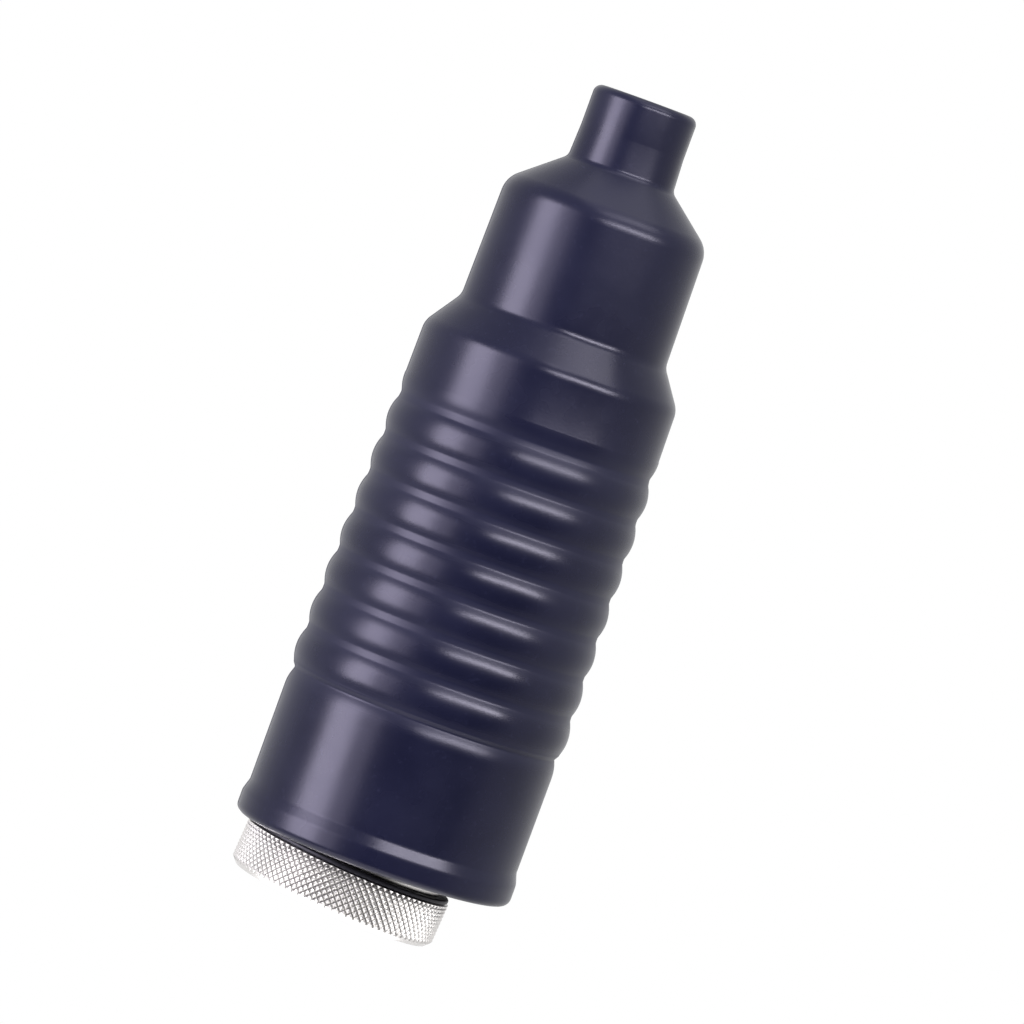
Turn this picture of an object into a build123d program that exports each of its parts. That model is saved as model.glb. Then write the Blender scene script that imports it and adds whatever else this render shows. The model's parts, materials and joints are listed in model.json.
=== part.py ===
from build123d import *
from math import atan, cos, radians, sin
import os

os.makedirs("parts", exist_ok=True)

# Millimetres. +Z runs along the socket's axis, from the mouth at z = 0 up towards the hose.

# socket body and its bores
plug_r = 6.1
mouth_chamfer = 0.4
ball_relief_r = 6.3
relief_z0 = 6.2
relief_z1 = 9.8
front_tube_r = 8.1
valve_tube_r = 8.8
ring_groove_r = 7.4
ring_groove_z0 = 1.6
chamber_r = 7.4
chamber_z0 = 14.0
guide_seat_r = 8.4
guide_seat_z = 33.0
body_top_z = 48.0
collar_r = 10.92
collar_z0 = 26.0
collar_z1 = 30.0
body_neck_r = 10.2
body_hex_z0 = 38.0
hex_across_flats = 21.0

# locking balls, and the sleeve that backs them
ball_count = 6
ball_r = 1.5875
ball_z = 7.9
ball_rest_r = 6.7875
ball_travel = 1.0
ball_gap = 0.03
ball_seat_r = 1.6075
sleeve_travel = 4.0
land_r = 8.2
land_z1 = 12.0
pocket_r = 11.0
sleeve_top_z = 31.0
barrel_r = 12.2
band_r = 13.65
band_z0 = 0.8
band_z1 = 5.15
bumper_z0 = 5.5
bumper_z1 = 6.5
bumper_seat_r = 11.8
bumper_r = 13.5
counterbore_r = 10.35
stop_z = 2.7
sleeve_wire = 1.2
sleeve_coil_r = 9.9
sleeve_turns = 5

# check valve
seal_bore_r = 4.95
seat_z0 = 18.05
seat_z1 = 20.0
poppet_head_r = 6.8
poppet_nose_r = 4.5
poppet_stem_r = 1.8
valve_wire = 0.8
valve_coil_r = 4.6
valve_turns = 6
valve_spring_z0 = 22.6
valve_spring_z1 = 33.0

# hose end
adapter_hex_z0 = 49.5
adapter_hex_z1 = 59.0
adapter_neck_r = 5.0
thread_r = 5.5
thread_z0 = 60.4
thread_z1 = 68.5
barb_crest_r = 2.75
barb_root_r = 2.3
barb_base_z = 69.0
barb_first_z = 70.0
barb_pitch = 2.2
barb_count = 4
barb_top_z = 79.0
stem_bore_r = 3.6
flow_r = 1.6
nut_z0 = 61.0
nut_hex_z1 = 73.0
nut_z1 = 80.0
nut_across_flats = 14.0
nut_collar_r = 6.8
nut_mouth_r = 4.2

# rubber boot: it hangs a little askew, so its axis leans on the socket's and crosses it at the pivot
boot_lean = 4.0
mouth_offset = 2.5
boot_mouth_z = 7.0
pivot_z = boot_mouth_z + mouth_offset / sin(radians(boot_lean))
boot_top_z = 108.0
boot_neck_r = 6.8
neck_foot_z = 98.0
shoulder_r = 13.45
shoulder_top_z = 92.4
shoulder_low_z = 77.3
ribs_top_z = 72.6
ribs_top_r = 16.6
ribs_low_z = 26.9
ribs_low_r = 17.95
skirt_r = 17.7
lip_r = 18.15
lip_top_z = 9.7
lip_flare = 1.4
hose_bore_r = 4.0
hose_bore_z0 = 95.0
groove_count = 8
groove_first_z = 63.25
groove_pitch = 5.18
groove_tool_r = 1.1
groove_depth = 0.35

# the sleeve's inner cone drives the balls out by their travel over the sleeve's travel
cone_slope = ball_travel / sleeve_travel
cone_r_at_ball = ball_rest_r + (ball_r + ball_gap) / cos(atan(cone_slope))
cone_top_z = ball_z + (cone_r_at_ball - land_r) / cone_slope
cone_front_r = land_r + cone_slope * (cone_top_z - stop_z)

# ---- socket body: turned tube with a spring collar, a spanner hexagon and six ball pockets
with BuildPart() as socket_body:
    with BuildSketch(Plane.XZ):
        with BuildLine():
            Polyline(
                (plug_r + mouth_chamfer, 0),
                (front_tube_r - 0.3, 0),
                (front_tube_r, 0.3),
                (front_tube_r, ring_groove_z0),
                (ring_groove_r, ring_groove_z0),
                (ring_groove_r, stop_z),
                (front_tube_r, stop_z),
                (front_tube_r, 18.0),
                (valve_tube_r, 18.7),
                (valve_tube_r, collar_z0),
                (collar_r - 0.3, collar_z0),
                (collar_r, collar_z0 + 0.3),
                (collar_r, collar_z1 - 0.4),
                (collar_r - 0.4, collar_z1),
                (body_neck_r, collar_z1),
                (body_neck_r, body_top_z),
                (guide_seat_r, body_top_z),
                (guide_seat_r, guide_seat_z),
                (chamber_r, guide_seat_z),
                (chamber_r, chamber_z0),
                (plug_r, chamber_z0),
                (plug_r, relief_z1),
                (ball_relief_r, relief_z1 - 0.2),
                (ball_relief_r, relief_z0 + 0.2),
                (plug_r, relief_z0),
                (plug_r, mouth_chamfer),
                close=True,
            )
        make_face()
    revolve(axis=Axis.Z)
    with BuildSketch(Plane.XY.offset(body_hex_z0)):
        RegularPolygon(hex_across_flats / 2, 6, major_radius=False)
        Circle(body_neck_r - 0.5, mode=Mode.SUBTRACT)
    extrude(amount=body_top_z - body_hex_z0)
    # the hexagon's corners are turned down at both ends
    with BuildSketch(Plane.XZ):
        with BuildLine():
            Polyline(
                (11.1, body_top_z),
                (13.5, body_top_z - 1.4),
                (13.5, body_top_z + 1),
                (11.1, body_top_z + 1),
                close=True,
            )
        make_face()
        with BuildLine():
            Polyline(
                (11.1, body_hex_z0),
                (13.5, body_hex_z0 + 1.4),
                (13.5, body_hex_z0 - 1),
                (11.1, body_hex_z0 - 1),
                close=True,
            )
        make_face()
    revolve(axis=Axis.Z, mode=Mode.SUBTRACT)
    # each pocket is a round seat that keeps its ball in, open outwards
    with Locations((0, 0, ball_z)):
        with PolarLocations(ball_rest_r, ball_count):
            Sphere(ball_seat_r, mode=Mode.SUBTRACT)
            Cylinder(
                ball_seat_r,
                2.2,
                rotation=(0, 90, 0),
                align=(Align.CENTER, Align.CENTER, Align.MIN),
                mode=Mode.SUBTRACT,
            )
socket_body.part.label = "socket_body"
export_step(socket_body.part, "parts/socket_body.step")

# ---- locking balls
for index in range(ball_count):
    turn = radians(360 / ball_count * index)
    with BuildPart() as lock_ball:
        with Locations((ball_rest_r * cos(turn), ball_rest_r * sin(turn), ball_z)):
            Sphere(ball_r)
    lock_ball.part.label = f"lock_ball_{index + 1}"
    export_step(lock_ball.part, f"parts/lock_ball_{index + 1}.step")

# ---- sleeve: knurled band at the mouth, thin barrel behind it, cone and land inside
with BuildPart() as sleeve:
    with BuildSketch(Plane.XZ):
        with BuildLine():
            Polyline(
                (counterbore_r + 0.3, 0),
                (band_r - 0.75, 0),
                (band_r, band_z0),
                (band_r, band_z1),
                (band_r - 0.4, bumper_z0),
                (bumper_seat_r, bumper_z0),
                (bumper_seat_r, bumper_z1),
                (barrel_r, bumper_z1),
                (barrel_r, sleeve_top_z - 0.4),
                (barrel_r - 0.4, sleeve_top_z),
                (pocket_r + 0.3, sleeve_top_z),
                (pocket_r, sleeve_top_z - 0.3),
                (pocket_r, land_z1),
                (land_r, land_z1),
                (land_r, cone_top_z),
                (cone_front_r, stop_z),
                (counterbore_r, stop_z),
                (counterbore_r, 0.3),
                close=True,
            )
        make_face()
    revolve(axis=Axis.Z)
sleeve.part.label = "sleeve"
export_step(sleeve.part, "parts/sleeve.step")

# ---- slim black ring seated behind the knurled band
with BuildPart() as sleeve_bumper:
    with BuildSketch(Plane.XZ):
        with BuildLine():
            Polyline(
                (bumper_seat_r + 0.03, bumper_z0 + 0.03),
                (bumper_r - 0.2, bumper_z0 + 0.03),
                (bumper_r, bumper_z0 + 0.25),
                (bumper_r, bumper_z1 - 0.25),
                (bumper_r - 0.2, bumper_z1 - 0.03),
                (bumper_seat_r + 0.03, bumper_z1 - 0.03),
                close=True,
            )
        make_face()
    revolve(axis=Axis.Z)
sleeve_bumper.part.label = "sleeve_bumper"
export_step(sleeve_bumper.part, "parts/sleeve_bumper.step")

# ---- split retaining ring that stops the sleeve coming off the mouth
with BuildPart() as retaining_ring:
    with BuildSketch(Plane.XY.offset(ring_groove_z0 + 0.05)):
        Circle(10.05)
        Circle(ring_groove_r + 0.05, mode=Mode.SUBTRACT)
        with Locations((0, -9)):
            Rectangle(3.2, 6, mode=Mode.SUBTRACT)
    extrude(amount=1.0)
retaining_ring.part.label = "retaining_ring"
export_step(retaining_ring.part, "parts/retaining_ring.step")

# ---- sleeve spring, between the sleeve's land and the body's collar
sleeve_spring_z0 = land_z1 + 0.05 + sleeve_wire / 2
sleeve_spring_z1 = collar_z0 - 0.05 - sleeve_wire / 2
sleeve_pitch = (sleeve_spring_z1 - sleeve_spring_z0) / sleeve_turns
with BuildPart() as sleeve_spring:
    with BuildLine():
        sleeve_helix = Helix(
            sleeve_pitch,
            sleeve_spring_z1 - sleeve_spring_z0,
            sleeve_coil_r,
            center=(0, 0, sleeve_spring_z0),
        )
    with BuildSketch(Plane(origin=sleeve_helix @ 0, z_dir=sleeve_helix % 0)):
        Circle(sleeve_wire / 2)
    sweep(is_frenet=True)
sleeve_spring.part.label = "sleeve_spring"
export_step(sleeve_spring.part, "parts/sleeve_spring.step")

# ---- rubber seal that grips the plug's nose
with BuildPart() as plug_seal:
    with BuildSketch(Plane.XZ):
        with BuildLine():
            Polyline(
                (5.6, chamber_z0 + 0.05),
                (chamber_r - 0.05, chamber_z0 + 0.05),
                (chamber_r - 0.05, seat_z0 - 0.05),
                (5.3, seat_z0 - 0.05),
                (5.3, 16.8),
                (seal_bore_r, 16.2),
                (seal_bore_r, 15.4),
                close=True,
            )
        make_face()
    revolve(axis=Axis.Z)
plug_seal.part.label = "plug_seal"
export_step(plug_seal.part, "parts/plug_seal.step")

# ---- brass ring that holds the seal and gives the valve its seat
with BuildPart() as valve_seat_ring:
    with BuildSketch(Plane.XZ):
        with BuildLine():
            Polyline(
                (5.4, seat_z0),
                (chamber_r - 0.05, seat_z0),
                (chamber_r - 0.05, seat_z1),
                (5.2, seat_z1),
                (5.2, seat_z0 + 0.2),
                close=True,
            )
        make_face()
    revolve(axis=Axis.Z)
valve_seat_ring.part.label = "valve_seat_ring"
export_step(valve_seat_ring.part, "parts/valve_seat_ring.step")

# ---- poppet: slotted nose the plug pushes, head with a ring groove, guided stem
with BuildPart() as valve_poppet:
    with BuildSketch(Plane.XZ):
        with BuildLine():
            Polyline(
                (3.4, 15.5),
                (4.2, 15.5),
                (poppet_nose_r, 15.8),
                (poppet_nose_r, 20.05),
                (5.45, 20.05),
                (5.45, 20.9),
                (6.35, 20.9),
                (6.35, 20.05),
                (poppet_head_r - 0.1, 20.05),
                (poppet_head_r, 20.3),
                (poppet_head_r, 22.2),
                (poppet_head_r - 0.4, 22.55),
                (3.6, 22.55),
                (3.6, 23.4),
                (poppet_stem_r, 23.9),
                (poppet_stem_r, 36.5),
                (poppet_stem_r - 0.3, 36.8),
                (0, 36.8),
                (0, 20.6),
                (3.4, 20.6),
                close=True,
            )
        make_face()
    revolve(axis=Axis.Z)
    # two crossed slots let the air out sideways
    with BuildSketch(Plane.XY.offset(17.0)):
        Rectangle(12, 2.6)
        Rectangle(2.6, 12)
    extrude(amount=2.9, mode=Mode.SUBTRACT)
valve_poppet.part.label = "valve_poppet"
export_step(valve_poppet.part, "parts/valve_poppet.step")

# ---- face ring in the poppet's head
with BuildPart() as valve_o_ring:
    with Locations((0, 0, 20.44)):
        Torus(5.9, 0.42)
valve_o_ring.part.label = "valve_o_ring"
export_step(valve_o_ring.part, "parts/valve_o_ring.step")

# ---- valve spring, between the poppet's head and the guide
valve_coil_z0 = valve_spring_z0 + valve_wire / 2
valve_coil_z1 = valve_spring_z1 - valve_wire / 2
valve_pitch = (valve_coil_z1 - valve_coil_z0) / valve_turns
with BuildPart() as valve_spring:
    with BuildLine():
        valve_helix = Helix(
            valve_pitch,
            valve_coil_z1 - valve_coil_z0,
            valve_coil_r,
            center=(0, 0, valve_coil_z0),
        )
    with BuildSketch(Plane(origin=valve_helix @ 0, z_dir=valve_helix % 0)):
        Circle(valve_wire / 2)
    sweep(is_frenet=True)
valve_spring.part.label = "valve_spring"
export_step(valve_spring.part, "parts/valve_spring.step")

# ---- guide: rim, three arms and a bored hub for the poppet's stem
with BuildPart() as valve_guide:
    with BuildSketch(Plane.XY.offset(guide_seat_z + 0.05)):
        Circle(guide_seat_r - 0.05)
        Circle(6.9, mode=Mode.SUBTRACT)
        with PolarLocations(6.0, 3):
            Rectangle(3.2, 1.8)
        Circle(5.4)
        Circle(poppet_stem_r + 0.06, mode=Mode.SUBTRACT)
    extrude(amount=2.95)
valve_guide.part.label = "valve_guide"
export_step(valve_guide.part, "parts/valve_guide.step")

# ---- sealing washer between the body and the hose adapter
with BuildPart() as adapter_washer:
    with BuildSketch(Plane.XY.offset(body_top_z + 0.05)):
        Circle(10.3)
        Circle(8.5, mode=Mode.SUBTRACT)
    extrude(amount=adapter_hex_z0 - body_top_z - 0.1)
adapter_washer.part.label = "adapter_washer"
export_step(adapter_washer.part, "parts/adapter_washer.step")

# ---- hose adapter: boss in the body, spanner hexagon, nut thread land and barbed stem
with BuildPart() as hose_adapter:
    with BuildSketch(Plane.XZ):
        with BuildLine():
            Polyline(
                (stem_bore_r, 36.05),
                (guide_seat_r - 0.35, 36.05),
                (guide_seat_r - 0.05, 36.35),
                (guide_seat_r - 0.05, adapter_hex_z0),
                (10.0, adapter_hex_z0),
                (10.0, adapter_hex_z1),
                (adapter_neck_r, adapter_hex_z1),
                (adapter_neck_r, thread_z0 - 0.5),
                (thread_r, thread_z0),
                (thread_r, thread_z1),
                (adapter_neck_r, barb_base_z),
                (barb_root_r, barb_base_z),
                (barb_root_r, barb_top_z - 0.2),
                (barb_root_r - 0.2, barb_top_z),
                (flow_r, barb_top_z),
                (flow_r, 56.0),
                (stem_bore_r, 51.0),
                close=True,
            )
        make_face()
    revolve(axis=Axis.Z)
    with BuildSketch(Plane.XY.offset(adapter_hex_z0)):
        RegularPolygon(hex_across_flats / 2, 6, major_radius=False)
        Circle(9.5, mode=Mode.SUBTRACT)
    extrude(amount=adapter_hex_z1 - adapter_hex_z0)
    with BuildSketch(Plane.XZ):
        with BuildLine():
            Polyline(
                (11.1, adapter_hex_z1),
                (13.5, adapter_hex_z1 - 1.4),
                (13.5, adapter_hex_z1 + 1),
                (11.1, adapter_hex_z1 + 1),
                close=True,
            )
        make_face()
        with BuildLine():
            Polyline(
                (11.1, adapter_hex_z0),
                (13.5, adapter_hex_z0 + 1.4),
                (13.5, adapter_hex_z0 - 1),
                (11.1, adapter_hex_z0 - 1),
                close=True,
            )
        make_face()
    revolve(axis=Axis.Z, mode=Mode.SUBTRACT)
    # barbs: a short crest, square behind and tapering towards the hose
    for index in range(barb_count):
        crest_z = barb_first_z + index * barb_pitch
        with BuildSketch(Plane.XZ):
            with BuildLine():
                Polyline(
                    (barb_root_r - 0.2, crest_z),
                    (barb_crest_r, crest_z),
                    (barb_crest_r, crest_z + 0.6),
                    (barb_root_r - 0.05, crest_z + 2.0),
                    (barb_root_r - 0.2, crest_z + 2.0),
                    close=True,
                )
            make_face()
        revolve(axis=Axis.Z)
hose_adapter.part.label = "hose_adapter"
export_step(hose_adapter.part, "parts/hose_adapter.step")

# ---- hose nut: hexagon with a plain collar towards the hose
nut_corner_start = nut_across_flats / 2 + 0.3
with BuildPart() as hose_nut:
    with BuildSketch(Plane.XY.offset(nut_z0)):
        RegularPolygon(nut_across_flats / 2, 6, major_radius=False)
    extrude(amount=nut_hex_z1 - nut_z0)
    with BuildSketch(Plane.XY.offset(nut_hex_z1)):
        Circle(nut_collar_r)
    extrude(amount=nut_z1 - nut_hex_z1)
    fillet(hose_nut.edges().group_by(Axis.Z)[-1], radius=0.8)
    with BuildSketch(Plane.XZ):
        with BuildLine():
            Polyline(
                (nut_corner_start, nut_z0),
                (nut_corner_start + 1.6, nut_z0 + 0.9),
                (nut_corner_start + 1.6, nut_z0 - 1),
                (nut_corner_start, nut_z0 - 1),
                close=True,
            )
        make_face()
        with BuildLine():
            Polyline(
                (nut_corner_start, nut_hex_z1),
                (nut_corner_start + 1.6, nut_hex_z1 - 0.9),
                (nut_corner_start + 1.6, nut_hex_z1 + 1),
                (nut_corner_start, nut_hex_z1 + 1),
                close=True,
            )
        make_face()
    revolve(axis=Axis.Z, mode=Mode.SUBTRACT)
    with BuildSketch(Plane.XZ):
        with BuildLine():
            Polyline(
                (0, nut_z0 - 0.1),
                (thread_r + 0.4, nut_z0 - 0.1),
                (thread_r + 0.06, nut_z0 + 0.4),
                (thread_r + 0.06, barb_base_z + 1),
                (nut_mouth_r, barb_base_z + 3.5),
                (nut_mouth_r, nut_z1 - 0.5),
                (nut_mouth_r + 0.6, nut_z1 + 0.1),
                (0, nut_z1 + 0.1),
                close=True,
            )
        make_face()
    revolve(axis=Axis.Z, mode=Mode.SUBTRACT)
hose_nut.part.label = "hose_nut"
export_step(hose_nut.part, "parts/hose_nut.step")

# ---- boot: stepped and ribbed rubber cover, turned about its own leaning axis
lean = radians(boot_lean)
boot_origin = (pivot_z * sin(lean), 0, pivot_z * (1 - cos(lean)))
lean_plane = Plane(origin=boot_origin, x_dir=(cos(lean), 0, sin(lean)), z_dir=(0, -1, 0))
lean_axis = Axis(boot_origin, (-sin(lean), 0, cos(lean)))
with BuildPart() as boot:
    with BuildSketch(lean_plane):
        with BuildLine():
            FilletPolyline(
                (0, boot_top_z),
                (boot_neck_r, boot_top_z),
                (boot_neck_r, neck_foot_z),
                (shoulder_r, shoulder_top_z),
                (shoulder_r, shoulder_low_z),
                (ribs_top_r, ribs_top_z),
                (ribs_low_r, ribs_low_z),
                (skirt_r, ribs_low_z - 0.5),
                (skirt_r, lip_top_z + lip_flare),
                (lip_r, lip_top_z),
                (lip_r, boot_mouth_z),
                (0, boot_mouth_z),
                radius=(1.0, 1.2, 2.2, 3.0, 4.0, 0.2, 0.2, 0.2, 0.2, 0.9),
            )
            Line((0, boot_mouth_z), (0, boot_top_z))
        make_face()
    revolve(axis=lean_axis)
    # round grooves around the ribbed length
    with BuildSketch(lean_plane):
        for index in range(groove_count):
            groove_z = groove_first_z - index * groove_pitch
            along = (ribs_top_z - groove_z) / (ribs_top_z - ribs_low_z)
            surface_r = ribs_top_r + along * (ribs_low_r - ribs_top_r)
            with Locations((surface_r + groove_tool_r - groove_depth, groove_z)):
                Circle(groove_tool_r)
    revolve(axis=lean_axis, mode=Mode.SUBTRACT)
    # hollow for the socket: a wide mouth that the sleeve's band slides into, the barrel,
    # the nut's space and the bore that grips the hose
    with BuildSketch(lean_plane):
        with BuildLine():
            Polyline(
                (0, boot_mouth_z - 1),
                (17.3, boot_mouth_z - 1),
                (17.0, boot_mouth_z),
                (16.5, boot_mouth_z + 0.5),
                (16.5, 12.3),
                (15.5, 13.3),
                (14.4, 69.5),
                (11.0, 76.0),
                (11.0, 89.5),
                (hose_bore_r, hose_bore_z0),
                (hose_bore_r, boot_top_z + 1),
                (0, boot_top_z + 1),
                close=True,
            )
        make_face()
    revolve(axis=lean_axis, mode=Mode.SUBTRACT)
boot.part.label = "boot"
export_step(boot.part, "parts/boot.step")
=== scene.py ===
import json
import math

import bmesh
import bpy
import numpy as np
from mathutils import Matrix, Quaternion, Vector


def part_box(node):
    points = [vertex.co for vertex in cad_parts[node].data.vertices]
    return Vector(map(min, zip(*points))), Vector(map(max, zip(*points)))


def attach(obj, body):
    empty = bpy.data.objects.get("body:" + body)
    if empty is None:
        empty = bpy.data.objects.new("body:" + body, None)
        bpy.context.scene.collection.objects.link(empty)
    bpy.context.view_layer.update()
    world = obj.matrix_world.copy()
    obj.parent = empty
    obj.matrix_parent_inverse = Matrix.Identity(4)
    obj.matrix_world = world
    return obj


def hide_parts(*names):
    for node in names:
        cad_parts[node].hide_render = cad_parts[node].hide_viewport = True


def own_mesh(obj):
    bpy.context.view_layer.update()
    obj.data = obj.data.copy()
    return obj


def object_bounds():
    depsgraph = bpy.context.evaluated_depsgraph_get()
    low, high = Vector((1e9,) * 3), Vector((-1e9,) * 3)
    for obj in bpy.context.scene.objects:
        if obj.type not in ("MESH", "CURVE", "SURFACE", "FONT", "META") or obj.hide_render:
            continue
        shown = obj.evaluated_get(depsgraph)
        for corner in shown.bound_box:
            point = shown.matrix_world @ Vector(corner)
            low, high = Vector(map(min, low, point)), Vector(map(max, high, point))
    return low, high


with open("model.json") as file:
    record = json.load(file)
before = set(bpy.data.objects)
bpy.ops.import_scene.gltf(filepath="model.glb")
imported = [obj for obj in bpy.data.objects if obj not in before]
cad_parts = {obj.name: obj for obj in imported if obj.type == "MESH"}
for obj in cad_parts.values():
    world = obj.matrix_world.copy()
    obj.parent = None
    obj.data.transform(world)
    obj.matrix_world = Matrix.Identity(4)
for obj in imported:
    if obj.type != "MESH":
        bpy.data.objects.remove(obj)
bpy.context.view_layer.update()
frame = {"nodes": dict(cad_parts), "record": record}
nodes = frame["nodes"]
mounts = {row["name"]: row for row in frame["record"]["mounts"]}

# Shapes are drawn in millimetres and placed in metres. +Z runs from the mouth up to the hose.
MM = 0.001

# boot: stations run along its own axis, from the mouth up
BOOT_TOP = 108.0
BOOT_MOUTH = 7.25
BOOT_COLUMNS = 256
NECK_R = 6.75
NECK_BORE_R = mounts["hose_neck"]["dims"]["r_mm"]
NECK_CHAMFER = 0.45
NUT_ROOM_R = 11.0
SLEEVE_ROOM_R = 16.5
SKIRT_R = 17.7
LIP_R = 18.12

# boot's grip: a taper between two stations, cut by grooves
TAPER_TOP = 72.6
TAPER_TOP_R = 16.6
TAPER_LOW = 26.9
TAPER_LOW_R = 17.95
RIBBED_TOP = 66.0
RIBBED_LOW = 24.2
RING_STEP = 0.1
GROOVE_COUNT = 8
GROOVE_FIRST = 63.25
GROOVE_PITCH = 5.18
GROOVE_LAST = GROOVE_FIRST - (GROOVE_COUNT - 1) * GROOVE_PITCH
GROOVE_FLOOR = 0.42
GROOVE_SOFT = 0.12
RIB_HEIGHT = 0.48
RIB_PROUD = 0.15
PROUD_RUN = 1.0
SKIRT_RUN = 0.4

# boot's moulding: a fine seam on two sides, and walls that aren't quite round
SEAM_HEIGHT = 0.07
SEAM_WIDTH = 0.16
OVAL = 0.035
RIPPLE = 0.02

# sleeve: knurled band at the mouth, then a thin barrel
SLEEVE_BORE_R = 10.35
CONE_LOW = 2.7
BAND_R = 13.65
BAND_LOW = 0.85
BAND_TOP = 5.88
KNURL_STEP = 0.2425
KNURL_ROWS = 20
KNURL_DIAMONDS = 90
KNURL_DEPTH = 0.27
BAND_ROOT_R = BAND_R - KNURL_DEPTH
RING_SEAT_R = 11.8
RING_SEAT_TOP = 6.5
BARREL_R = 12.2
BARREL_TOP = 31.0
SPRING_ROOM_R = 11.0
SPRING_ROOM_LOW = 12.0
LAND_R = 8.2
LAND_LOW = 8.92

# black ring behind the band
BUMPER_R = 13.45
BUMPER_BORE_R = 11.83
BUMPER_LOW = 5.9
BUMPER_TOP = 6.47
BUMPER_COLUMNS = 192

# studio: angles in degrees, distances in metres, lens and sensor in the camera's millimetres
VIEW_AZIMUTH = -4.5
VIEW_ELEVATION = 2.3
VIEW_ROLL = 24.0
LENS = 250.0
SENSOR = 36.0
FRAME_WIDTH = 0.128
FAR_CLIP = 50.0
FLOOR_DROP = 0.2
FLOOR_R = 0.2
FLOOR_CORNERS = 96
DIM_AZIMUTH = 14


# ---- mesh helpers
def smoothstep(low, high, value):
    """0 below low, 1 above high, and a smooth rise between them."""
    share = np.clip((value - low) / (high - low), 0.0, 1.0)
    return share * share * (3 - 2 * share)


def even_angles(count):
    """That many equal steps round a full turn."""
    return np.arange(count) * 2 * math.pi / count


def rounded(points, radii, steps):
    """An open profile with its inner corners rounded, each to the radius in the same order."""
    path = [points[0]]
    for before, corner, after, radius in zip(points, points[1:], points[2:], radii):
        here = np.array(corner, float)
        to_before = np.array(before, float) - here
        to_after = np.array(after, float) - here
        to_before /= np.linalg.norm(to_before)
        to_after /= np.linalg.norm(to_after)
        half = math.acos(np.clip(np.dot(to_before, to_after), -1, 1)) / 2
        nearly_straight = half > math.pi / 2 - 0.01
        if radius <= 0 or nearly_straight:
            path.append(tuple(here))
            continue
        middle = to_before + to_after
        middle /= np.linalg.norm(middle)
        arc_centre = here + middle * radius / math.sin(half)
        start = here + to_before * radius / math.tan(half) - arc_centre
        end = here + to_after * radius / math.tan(half) - arc_centre
        sweep = math.pi - 2 * half
        for index in range(steps + 1):
            turn = sweep * index / steps
            point = (start * math.sin(sweep - turn) + end * math.sin(turn)) / math.sin(sweep)
            path.append(tuple(arc_centre + point))
    path.append(points[-1])
    return path


def finish_mesh(name, vertices, faces, crease_deg, place=None, marks=None):
    """A smooth-shaded object from vertices in millimetres. marks is one number per vertex."""
    mesh = bpy.data.meshes.new(name)
    mesh.from_pydata((np.asarray(vertices) * MM).tolist(), [], faces)
    shape = bmesh.new()
    shape.from_mesh(mesh)
    bmesh.ops.recalc_face_normals(shape, faces=shape.faces)
    shape.to_mesh(mesh)
    shape.free()
    if place is not None:
        mesh.transform(place)
    mesh.shade_smooth()
    mesh.set_sharp_from_angle(angle=math.radians(crease_deg))
    if marks is not None:
        worn = mesh.attributes.new("worn", "FLOAT", "POINT")
        worn.data.foreach_set("value", np.asarray(marks, np.float32).ravel())
    made = bpy.data.objects.new(name, mesh)
    bpy.context.scene.collection.objects.link(made)
    return made


def lathe(name, profile, angles, crease_deg, relief=0.0, marks=None, split=None, place=None):
    """Turns a closed profile of (radius, height) round Z.

    relief is added to the radius: one number, or one for each ring and column. split says which
    cells are cut into triangles, and along which diagonal.
    """
    rings = np.array(profile, float)
    radius = np.repeat(rings[:, :1], len(angles), axis=1) + relief
    height = np.repeat(rings[:, 1:], len(angles), axis=1)
    spots = np.stack([radius * np.cos(angles), radius * np.sin(angles), height], axis=-1)
    count, columns = radius.shape
    faces = []
    for ring in range(count):
        this_ring, next_ring = ring * columns, (ring + 1) % count * columns
        for column in range(columns):
            beside = (column + 1) % columns
            first, second = this_ring + column, this_ring + beside
            third, fourth = next_ring + beside, next_ring + column
            diagonal = split(ring, column) if split else None
            if diagonal == "rising":
                faces += [(first, second, third), (first, third, fourth)]
            elif diagonal == "falling":
                faces += [(first, second, fourth), (second, third, fourth)]
            else:
                faces.append((first, second, third, fourth))
    return finish_mesh(name, spots.reshape(-1, 3), faces, crease_deg, place, marks)


def coil_line(radius, wire_r, low, high, turns, dead_turns):
    """The middle of a spring's wire, and its angle at each point. The end turns are closed up."""
    per_turn = 72
    closed_gap = 1.02
    softened = 15
    total = turns + 2 * dead_turns
    wound = np.linspace(0, 1, int(per_turn * total) + 1) * total
    ends = dead_turns * 2 * wire_r * closed_gap
    active = (high - low) - 2 * wire_r - 2 * ends
    below = np.minimum(wound, dead_turns) / dead_turns * ends
    between = np.clip(wound - dead_turns, 0, turns) / turns * active
    above = np.clip(wound - dead_turns - turns, 0, dead_turns) / dead_turns * ends
    height = low + wire_r + below + between + above
    kernel = np.hanning(2 * softened + 3)[1:-1]
    kernel /= kernel.sum()
    padded = np.pad(height, softened, mode="reflect", reflect_type="odd")
    eased = np.convolve(padded, kernel, mode="valid")
    turn = wound * 2 * math.pi
    return np.stack([radius * np.cos(turn), radius * np.sin(turn), eased], axis=-1), turn


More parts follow.
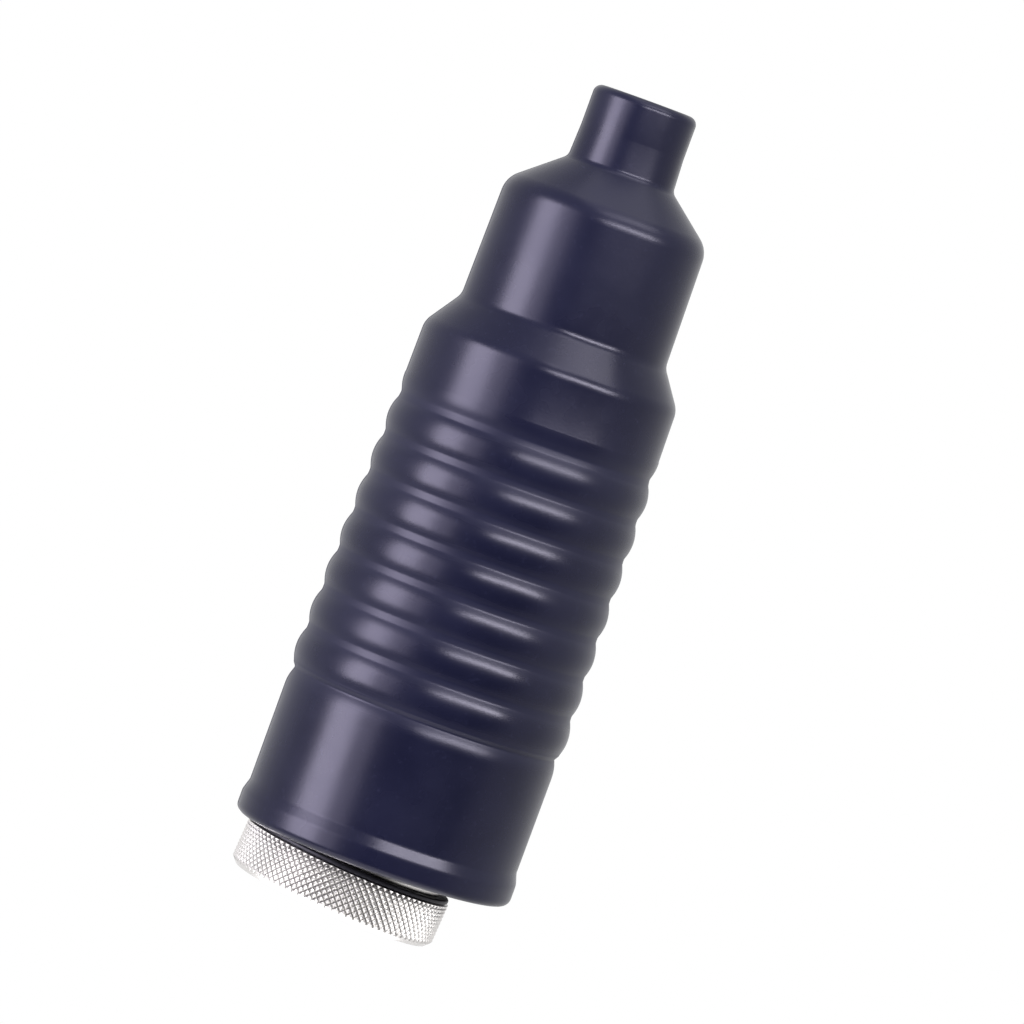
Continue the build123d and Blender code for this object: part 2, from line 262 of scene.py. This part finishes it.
def coil(name, radius, wire_r, low, high, turns, dead_turns):
    """A compression spring. low and high are the heights of its two faces."""
    sides = 14
    line, turn = coil_line(radius, wire_r, low, high, turns, dead_turns)
    along = np.gradient(line, axis=0)
    along /= np.linalg.norm(along, axis=1, keepdims=True)
    out = np.stack([np.cos(turn), np.sin(turn), np.zeros_like(turn)], axis=-1)
    side = np.cross(along, out)
    vertices = []
    for spot, outward, sideways in zip(line, out, side):
        for angle in even_angles(sides):
            vertices.append(spot + wire_r * (math.cos(angle) * outward + math.sin(angle) * sideways))
    faces = []
    for index in range(len(line) - 1):
        ring, next_ring = index * sides, (index + 1) * sides
        for step in range(sides):
            beside = (step + 1) % sides
            faces.append((ring + step, ring + beside, next_ring + beside, next_ring + step))
    last_ring = (len(line) - 1) * sides
    faces.append(tuple(range(sides)))
    faces.append(tuple(range(last_ring, last_ring + sides)))
    return finish_mesh(name, vertices, faces, crease_deg=50)


# ---- material helpers
def node(tree, kind, inputs=None, **settings):
    """Adds a node; inputs are numbers, colours or sockets by socket name or index."""
    made = tree.nodes.new(kind)
    for key, value in settings.items():
        setattr(made, key, value)
    for key, value in (inputs or {}).items():
        if isinstance(value, bpy.types.NodeSocket):
            tree.links.new(value, made.inputs[key])
        else:
            made.inputs[key].default_value = value
    return made


def math_node(tree, operation, first, second):
    """One step of arithmetic on two values."""
    return node(tree, "ShaderNodeMath", {0: first, 1: second}, operation=operation).outputs[0]


def mix_colours(tree, factor, first, second):
    """first at factor 0, second at factor 1."""
    made = node(tree, "ShaderNodeMix", {0: factor, 6: first, 7: second}, data_type="RGBA")
    return made.outputs[2]


def ranged(tree, value, low, high, to_low, to_high):
    """Maps low to to_low and high to to_high, smoothly, and holds the ends."""
    made = node(
        tree,
        "ShaderNodeMapRange",
        {"Value": value, "From Min": low, "From Max": high, "To Min": to_low, "To Max": to_high},
        interpolation_type="SMOOTHSTEP",
    )
    return made.outputs[0]


def place_in(tree):
    """Object coordinates, in metres."""
    return node(tree, "ShaderNodeTexCoord").outputs["Object"]


def noise(tree, where, scale, detail, roughness):
    """Noise around 0.5. scale is in cycles per metre when where is a place."""
    made = node(
        tree,
        "ShaderNodeTexNoise",
        {"Vector": where, "Scale": scale, "Detail": detail, "Roughness": roughness},
    )
    return made.outputs[0]


def turned_place(tree, around, across):
    """Coordinates for lathe marks: slow round the axis, quick across the cut."""
    spot = node(tree, "ShaderNodeSeparateXYZ", {"Vector": place_in(tree)})
    flat = node(tree, "ShaderNodeCombineXYZ", {"X": spot.outputs[0], "Y": spot.outputs[1]})
    radius = node(tree, "ShaderNodeVectorMath", {0: flat.outputs[0]}, operation="LENGTH").outputs["Value"]
    slow_x = math_node(tree, "MULTIPLY", spot.outputs[0], around)
    slow_y = math_node(tree, "MULTIPLY", spot.outputs[1], around)
    quick_z = math_node(tree, "MULTIPLY", spot.outputs[2], across)
    quick_radius = math_node(tree, "MULTIPLY", radius, across)
    both = math_node(tree, "ADD", slow_x, quick_radius)
    return node(tree, "ShaderNodeCombineXYZ", {"X": both, "Y": slow_y, "Z": quick_z}).outputs[0]


def bump(tree, height, strength, distance, below=None):
    """Relief for light only. distance is in metres, and below is the bump underneath."""
    made = node(tree, "ShaderNodeBump", {"Height": height, "Strength": strength, "Distance": distance})
    if below is not None:
        tree.links.new(below, made.inputs["Normal"])
    return made.outputs[0]


def groove_depth_value(tree):
    """The mesh's own mark: 1 in the bottom of a groove, 0 on open surface."""
    return node(tree, "ShaderNodeAttribute", attribute_name="worn").outputs["Fac"]


def new_material(name):
    """A material, its node tree and its shader."""
    made = bpy.data.materials.new(name)
    made.use_nodes = True
    return made, made.node_tree, made.node_tree.nodes["Principled BSDF"]


def feed(tree, shader, colour, roughness, normal):
    """Links what varies over the surface to the shader."""
    for key, value in (("Base Color", colour), ("Roughness", roughness), ("Normal", normal)):
        tree.links.new(value, shader.inputs[key])


def opaque(colour, gain=1.0, lift=0.0):
    """A colour with its alpha, made brighter or darker on the way."""
    return tuple(channel * gain + lift for channel in colour) + (1.0,)


def wear(piece, made):
    """Gives a piece this material and no other."""
    piece.data.materials.clear()
    piece.data.materials.append(made)


def rubber(name, dark, light, rough, specular, grain):
    """Moulded rubber: finely grained, with soft patches of dullness and dust in its hollows."""
    made, tree, shader = new_material(name)
    where = place_in(tree)
    patches = noise(tree, where, 55.0, 4.0, 0.6)
    specks = noise(tree, where, 1500.0, 2.0, 0.5)
    waves = noise(tree, where, 130.0, 2.0, 0.4)
    fine_grain = noise(tree, where, grain, 3.0, 0.6)
    patchy = mix_colours(tree, ranged(tree, patches, 0.3, 0.7, 0.0, 1.0), opaque(dark), opaque(light))
    dust = ranged(tree, specks, 0.62, 0.74, 0.0, 0.3)
    in_hollows = math_node(tree, "MULTIPLY", groove_depth_value(tree), 0.35)
    dusted = math_node(tree, "MAXIMUM", dust, in_hollows)
    colour = mix_colours(tree, dusted, patchy, opaque(light, gain=1.6, lift=0.004))
    duller = math_node(tree, "MULTIPLY", groove_depth_value(tree), 0.12)
    roughness = math_node(tree, "ADD", ranged(tree, patches, 0.3, 0.7, *rough), duller)
    normal = bump(tree, waves, 0.35, 0.0001)
    normal = bump(tree, fine_grain, 0.3, 0.00002, normal)
    feed(tree, shader, colour, roughness, normal)
    shader.inputs["Specular IOR Level"].default_value = specular
    shader.inputs["Specular Tint"].default_value = (0.86, 0.82, 1.0, 1.0)
    return made


def metal(name, colour, tarnish, rough, marks=0.35, knurled=False):
    """Turned metal: marks round the axis, cloudy tarnish, and painted shade darkening the grooves where
    it is knurled.
    """
    made, tree, shader = new_material(name)
    where = place_in(tree)
    clouds = noise(tree, where, 120.0, 5.0, 0.62)
    lines = noise(tree, turned_place(tree, 30.0, 5200.0), 1.0, 4.0, 0.65)
    pits = noise(tree, where, 900.0, 2.0, 0.5)
    mottling = ranged(tree, clouds, 0.38, 0.72, 0.0, 0.7)
    streaks = ranged(tree, lines, 0.4, 0.7, 0.0, 0.3)
    mottled = mix_colours(tree, mottling, opaque(colour), opaque(tarnish))
    look = mix_colours(tree, streaks, mottled, opaque(tarnish))
    roughness = ranged(tree, math_node(tree, "ADD", clouds, lines), 0.75, 1.25, *rough)
    if knurled:
        # painted shade: the knurl's grooves are darkened towards a sixth of the plate's colour, as shade
        # in them
        painted_groove_shade = ranged(tree, groove_depth_value(tree), 0.25, 1.0, 0.0, 0.85)
        duller = math_node(tree, "MULTIPLY", groove_depth_value(tree), 0.25)
        look = mix_colours(tree, painted_groove_shade, look, opaque(colour, gain=0.16))
        roughness = math_node(tree, "ADD", roughness, duller)
    normal = bump(tree, lines, marks, 0.000004)
    normal = bump(tree, pits, 0.1, 0.000006, normal)
    feed(tree, shader, look, roughness, normal)
    shader.inputs["Metallic"].default_value = 1.0
    return made


# ---- materials: the boot's rubber is blue-black, and the sleeve is bright nickel plate
boot_rubber = rubber(
    "boot_rubber", (0.0032, 0.0036, 0.0118), (0.0048, 0.0053, 0.0158), (0.23, 0.31), 0.25, 2600.0
)
black_rubber = rubber(
    "black_rubber", (0.008, 0.008, 0.010), (0.015, 0.015, 0.018), (0.42, 0.55), 0.4, 3200.0
)
seal_rubber = rubber(
    "seal_rubber", (0.012, 0.012, 0.012), (0.022, 0.021, 0.020), (0.38, 0.5), 0.45, 3000.0
)
sleeve_plate = metal(
    "sleeve_plate", (0.87, 0.845, 0.83), (0.75, 0.73, 0.71), (0.16, 0.28), 0.25, knurled=True
)
body_plate = metal("body_plate", (0.46, 0.46, 0.47), (0.33, 0.32, 0.32), (0.2, 0.34))
adapter_plate = metal("adapter_plate", (0.50, 0.49, 0.47), (0.36, 0.34, 0.32), (0.22, 0.36))
spring_wire = metal("spring_wire", (0.50, 0.50, 0.51), (0.36, 0.35, 0.34), (0.2, 0.34), 0.15)
ring_steel = metal("ring_steel", (0.30, 0.30, 0.31), (0.18, 0.17, 0.17), (0.3, 0.45), 0.2)
ball_steel = metal("ball_steel", (0.76, 0.76, 0.77), (0.66, 0.65, 0.64), (0.06, 0.12), 0.04)
valve_brass = metal("valve_brass", (0.78, 0.57, 0.27), (0.55, 0.37, 0.15), (0.2, 0.34))
nut_brass = metal("nut_brass", (0.80, 0.60, 0.30), (0.58, 0.40, 0.18), (0.22, 0.36))
washer_copper = metal("washer_copper", (0.78, 0.42, 0.28), (0.48, 0.23, 0.14), (0.28, 0.44))

# ---- CAD nodes that keep their own shape
kept_looks = {
    "socket_body": body_plate,
    "retaining_ring": ring_steel,
    "plug_seal": seal_rubber,
    "valve_seat_ring": valve_brass,
    "valve_poppet": valve_brass,
    "valve_o_ring": seal_rubber,
    "valve_guide": valve_brass,
    "hose_adapter": adapter_plate,
    "adapter_washer": washer_copper,
    "hose_nut": nut_brass,
}
for name, look in kept_looks.items():
    wear(nodes[name], look)
for name in nodes:
    if name.startswith("lock_ball_"):
        wear(nodes[name], ball_steel)


# ---- boot: moulded rubber cover with a ribbed grip
def boot_place():
    """From the boot's stations to the frame: its neck bore is a mount, and ends at the boot's top."""
    bore = mounts["hose_neck"]
    axis = Vector(bore["axis"]).normalized()
    top = Vector(bore["pos_m"]) + axis * bore["dims"]["length_mm"] * MM / 2
    turn = Vector((0, 0, 1)).rotation_difference(axis).to_matrix().to_4x4()
    return Matrix.Translation(top) @ turn @ Matrix.Translation((0, 0, -BOOT_TOP * MM))


def taper(station):
    """Radius of the grip's taper, before its grooves are cut."""
    fall = np.minimum((TAPER_TOP - station) / (TAPER_TOP - TAPER_LOW), 1.0)
    return TAPER_TOP_R + fall * (TAPER_LOW_R - TAPER_TOP_R)


def ribbed(station):
    """Radius along the grip: ribs that are arcs, with a narrow floor between each two."""
    to_skirt = SKIRT_R - TAPER_LOW_R - RIB_PROUD
    radius = taper(station)
    radius += RIB_PROUD * smoothstep(-PROUD_RUN, PROUD_RUN, GROOVE_FIRST - station)
    radius += to_skirt * smoothstep(-SKIRT_RUN, SKIRT_RUN, GROOVE_LAST - station)
    nearest = np.clip(np.round((GROOVE_FIRST - station) / GROOVE_PITCH), 0, GROOVE_COUNT - 1)
    beyond = abs(station - (GROOVE_FIRST - nearest * GROOVE_PITCH)) - GROOVE_FLOOR
    eased = (beyond + math.sqrt(beyond**2 + GROOVE_SOFT**2)) / 2
    half_rib = GROOVE_PITCH / 2 - GROOVE_FLOOR
    short = 1 - min(eased / half_rib, 1.0)
    return radius - RIB_HEIGHT * short**2


def boot_outline():
    """The boot's closed outline: down its outside from the neck, then up its inside."""
    upper = rounded(
        [
            (NECK_BORE_R + NECK_CHAMFER, BOOT_TOP),
            (NECK_R, BOOT_TOP),
            (NECK_R, 102.6),
            (6.95, 98.3),
            (13.3, 93.1),
            (13.5, 77.5),
            (TAPER_TOP_R + 0.05, 72.9),
            (TAPER_TOP_R + 0.15, RIBBED_TOP + 0.2),
        ],
        [1.1, 4.0, 1.2, 3.4, 2.2, 3.0],
        steps=9,
    )
    ribs = [(ribbed(station), station) for station in np.arange(RIBBED_TOP, RIBBED_LOW, -RING_STEP)]
    lower = rounded(
        [
            (SKIRT_R, RIBBED_LOW - RING_STEP),
            (SKIRT_R - 0.05, 11.6),
            (LIP_R, 10.1),
            (LIP_R, BOOT_MOUTH),
            (16.9, BOOT_MOUTH),
            (SLEEVE_ROOM_R, 7.9),
            (SLEEVE_ROOM_R, 12.3),
            (15.5, 13.3),
            (14.4, 69.5),
            (NUT_ROOM_R, 76.0),
            (NUT_ROOM_R, 89.5),
            (NECK_BORE_R, 95.0),
            (NECK_BORE_R, BOOT_TOP - NECK_CHAMFER),
        ],
        [1.5, 1.9, 1.15, 0.35, 0.3, 0.5, 0.5, 4.0, 3.0, 2.5, 2.5],
        steps=7,
    )
    return np.array(upper + ribs + lower)


def boot_angles():
    """Even columns, with finer ones beside the mould seam on each side."""
    beside_seam = np.array([0.4, 0.8, 1.1, 1.6, 2.4]) * SEAM_WIDTH / SKIRT_R
    near = np.concatenate([-beside_seam, beside_seam])
    extra = np.concatenate([near, near + math.pi]) % (2 * math.pi)
    return np.sort(np.concatenate([even_angles(BOOT_COLUMNS), extra]))


def outside_of(profile):
    """Which rings are on the boot's outside: those before the inner edge of its mouth."""
    radius, station = profile[:, 0], profile[:, 1]
    at_mouth = station <= BOOT_MOUTH + 0.001
    inner_edge = np.argmax(at_mouth & (radius < (SKIRT_R + SLEEVE_ROOM_R) / 2))
    return np.arange(len(profile)) < inner_edge


def moulding(profile, angles):
    """Relief on the outside: the mould seam, and walls that sway a little."""
    radius, station = profile[:, :1], profile[:, 1:]
    from_seam = np.abs(np.sin(angles)) * radius
    seam = SEAM_HEIGHT * np.exp(-((from_seam / SEAM_WIDTH) ** 2))
    oval = OVAL * np.sin(2 * angles + station / 9.0)
    ripple = RIPPLE * np.sin(5 * angles - station / 5.0)
    return np.where(outside_of(profile)[:, None], seam + oval + ripple, 0.0)


def hollows(profile):
    """How deep each ring lies in a groove, from 0 on a rib to 1 in the floor."""
    radius, station = profile[:, 0], profile[:, 1]
    plain = np.where(station < TAPER_LOW, SKIRT_R, taper(station))
    in_ribs = (station < RIBBED_TOP) & (station > RIBBED_LOW) & outside_of(profile)
    return np.where(in_ribs, np.clip((plain - radius) / RIB_HEIGHT, 0, 1), 0.0)


boot_rings = boot_outline()
boot_turns = boot_angles()
boot = lathe(
    "boot_skin",
    boot_rings,
    boot_turns,
    crease_deg=60,
    relief=moulding(boot_rings, boot_turns),
    marks=np.repeat(hollows(boot_rings)[:, None], len(boot_turns), axis=1),
    place=boot_place(),
)
wear(boot, boot_rubber)
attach(boot, "boot")
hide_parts("boot")


# ---- sleeve: knurled band, thin barrel, cone and land inside
def knurl_depth(row, column):
    """Share of the knurl's depth at a grid point: 1 in a groove, 0 on a diamond's tip."""
    rising, falling = (row + column) % 4, (row - column) % 4
    nearest = np.minimum(np.minimum(rising, 4 - rising), np.minimum(falling, 4 - falling))
    return np.array([1.0, 0.3, 0.0])[nearest]


def knurl_split(first_row):
    """Cuts a grid cell along the groove that crosses it."""
    def cut(ring, column):
        row = ring - first_row
        if not 0 <= row < KNURL_ROWS:
            return None
        return "rising" if (row - column) % 4 in (0, 2) else "falling"
    return cut


front = rounded(
    [
        (SLEEVE_BORE_R, CONE_LOW),
        (SLEEVE_BORE_R, 0.0),
        (12.9, 0.0),
        (BAND_ROOT_R, 0.48),
        (BAND_ROOT_R + 0.05, 0.55),
    ],
    [0.3, 0.12, 0.0],
    steps=4,
)
band = [(BAND_R, BAND_LOW + row * KNURL_STEP) for row in range(KNURL_ROWS + 1)]
barrel = rounded(
    [
        (BAND_ROOT_R, BAND_TOP - 0.12),
        (13.2, BAND_TOP),
        (RING_SEAT_R, BAND_TOP),
        (RING_SEAT_R, RING_SEAT_TOP),
        (BARREL_R, RING_SEAT_TOP),
        (BARREL_R, BARREL_TOP),
        (SPRING_ROOM_R, BARREL_TOP),
        (SPRING_ROOM_R, SPRING_ROOM_LOW),
        (LAND_R, SPRING_ROOM_LOW),
        (LAND_R, LAND_LOW),
        (9.755, CONE_LOW),
    ],
    [0.08, 0.0, 0.0, 0.15, 0.35, 0.25, 0.3, 0.15, 0.6],
    steps=4,
)
sleeve_outline = front + band + barrel
knurl_columns = 4 * KNURL_DIAMONDS
grid_rows = np.arange(len(band))[:, None]
grid_columns = np.arange(knurl_columns)[None, :]
depth_share = np.zeros((len(sleeve_outline), knurl_columns))
depth_share[len(front):len(front) + len(band)] = knurl_depth(grid_rows, grid_columns)
sleeve = lathe(
    "sleeve_knurled",
    sleeve_outline,
    even_angles(knurl_columns),
    crease_deg=32,
    relief=-KNURL_DEPTH * depth_share,
    marks=depth_share,
    split=knurl_split(len(front)),
)
wear(sleeve, sleeve_plate)
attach(sleeve, "sleeve")
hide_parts("sleeve")

# ---- black ring behind the band: its outline starts and ends part way along its lower face
low_face = (12.4, BUMPER_LOW)
bumper_outline = rounded(
    [
        low_face,
        (BUMPER_R, BUMPER_LOW),
        (BUMPER_R, BUMPER_TOP),
        (BUMPER_BORE_R, BUMPER_TOP),
        (BUMPER_BORE_R, BUMPER_LOW),
        low_face,
    ],
    [0.2, 0.25, 0.08, 0.08],
    steps=6,
)
bumper = lathe("bumper_ring", bumper_outline[:-1], even_angles(BUMPER_COLUMNS), crease_deg=35)
wear(bumper, black_rubber)
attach(bumper, "sleeve")
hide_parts("sleeve_bumper")


# ---- springs: coils as tall as the CAD's springs
def spring(name, stands_for, radius, wire_r, turns, dead_turns):
    """A coil as tall as the CAD's spring."""
    low, high = (corner.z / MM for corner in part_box(stands_for))
    made = coil(name, radius, wire_r, low, high, turns, dead_turns)
    wear(made, spring_wire)
    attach(made, "socket")
    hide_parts(stands_for)
    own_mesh(made)


spring(
    "sleeve_coil", "sleeve_spring",
    radius=9.9, wire_r=0.6, turns=4.5, dead_turns=1.0,
)
spring(
    "valve_coil", "valve_spring",
    radius=4.6, wire_r=0.4, turns=5.5, dead_turns=1.0,
)

# ---- studio: pale floor, white surround, softboxes
low_corner, high_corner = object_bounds()
centre = (low_corner + high_corner) / 2


def from_centre(azimuth, elevation, distance):
    """A point round the object. Azimuth 0 is the camera's side, towards -Y, and grows towards +X."""
    turn, rise = math.radians(azimuth), math.radians(elevation)
    way = Vector((math.sin(turn) * math.cos(rise), -math.cos(turn) * math.cos(rise), math.sin(rise)))
    return centre + way * distance


def facing_centre(place):
    """The turn that makes a lamp or camera at this place look at the object."""
    return (place - centre).to_track_quat("Z", "Y")


def white_floor():
    """A disc well below the object, which hangs in the photograph."""
    height = low_corner.z - FLOOR_DROP
    around = even_angles(FLOOR_CORNERS)
    rim = [(FLOOR_R * math.cos(angle), FLOOR_R * math.sin(angle), height) for angle in around]
    mesh = bpy.data.meshes.new("floor")
    mesh.from_pydata(rim, [], [tuple(range(FLOOR_CORNERS))])
    made = bpy.data.objects.new("floor", mesh)
    bpy.context.scene.collection.objects.link(made)
    paint, _, shader = new_material("floor_white")
    shader.inputs["Base Color"].default_value = (0.86, 0.86, 0.86, 1)
    shader.inputs["Roughness"].default_value = 0.8
    shader.inputs["Emission Color"].default_value = (1, 1, 1, 1)
    shader.inputs["Emission Strength"].default_value = 0.45
    wear(made, paint)
    return made


floor = white_floor()


def softbox(name, azimuth, elevation, distance, width, height, radiance, tint=(1.0, 1.0, 1.0)):
    """A rectangular light that faces the object. radiance is how bright its face looks."""
    lamp = bpy.data.lights.new(name, "AREA")
    lamp.shape = "RECTANGLE"
    lamp.size = width
    lamp.size_y = height
    lamp.energy = radiance * 4 * width * height
    lamp.color = tint
    made = bpy.data.objects.new(name, lamp)
    made.location = from_centre(azimuth, elevation, distance)
    made.rotation_mode = "QUATERNION"
    made.rotation_quaternion = facing_centre(made.location)
    made.visible_camera = False
    bpy.context.scene.collection.objects.link(made)


softbox("left_box", -66, -2, 0.8, 0.38, 0.66, 8.0, (1.0, 0.97, 1.06))
softbox("left_wash", -60, -2, 0.95, 0.9, 0.9, 2.4, (1.0, 0.96, 1.06))
softbox("key_box", 26, 26, 0.9, 0.95, 0.13, 26.0)
softbox("upper_box", 28, 60, 0.9, 0.8, 0.3, 4.0)
softbox("top_box", 0, 88, 1.0, 0.8, 0.8, 1.0)


def studio_world():
    """White all round to the camera. As light, it is dim on the camera's side, as a studio is."""
    world = bpy.data.worlds.new("studio")
    world.use_nodes = True
    tree = world.node_tree
    glow = tree.nodes["Background"]
    glow.inputs["Color"].default_value = (1, 1, 1, 1)
    dim_side = from_centre(DIM_AZIMUTH, 0, 1.0) - centre
    way = node(tree, "ShaderNodeTexCoord").outputs["Generated"]
    compared = node(tree, "ShaderNodeVectorMath", {0: way, 1: dim_side}, operation="DOT_PRODUCT")
    light = ranged(tree, compared.outputs["Value"], 0.50, 0.88, 0.82, 0.13)
    seen = node(tree, "ShaderNodeLightPath").outputs["Is Camera Ray"]
    tree.links.new(math_node(tree, "MAXIMUM", light, seen), glow.inputs["Strength"])
    bpy.context.scene.world = world


def camera_view():
    """A long lens at the photograph's angle, rolled so that the coupler hangs slanting."""
    lens = bpy.data.cameras.new("camera")
    lens.lens = LENS
    lens.sensor_width = SENSOR
    lens.clip_end = FAR_CLIP
    made = bpy.data.objects.new("camera", lens)
    bpy.context.scene.collection.objects.link(made)
    made.location = from_centre(VIEW_AZIMUTH, VIEW_ELEVATION, FRAME_WIDTH * LENS / SENSOR)
    made.rotation_mode = "QUATERNION"
    roll = Quaternion((0, 0, 1), math.radians(VIEW_ROLL))
    made.rotation_quaternion = facing_centre(made.location) @ roll
    return made


studio_world()
bpy.context.scene.camera = camera_view()
bpy.context.scene.view_settings.view_transform = "Standard"
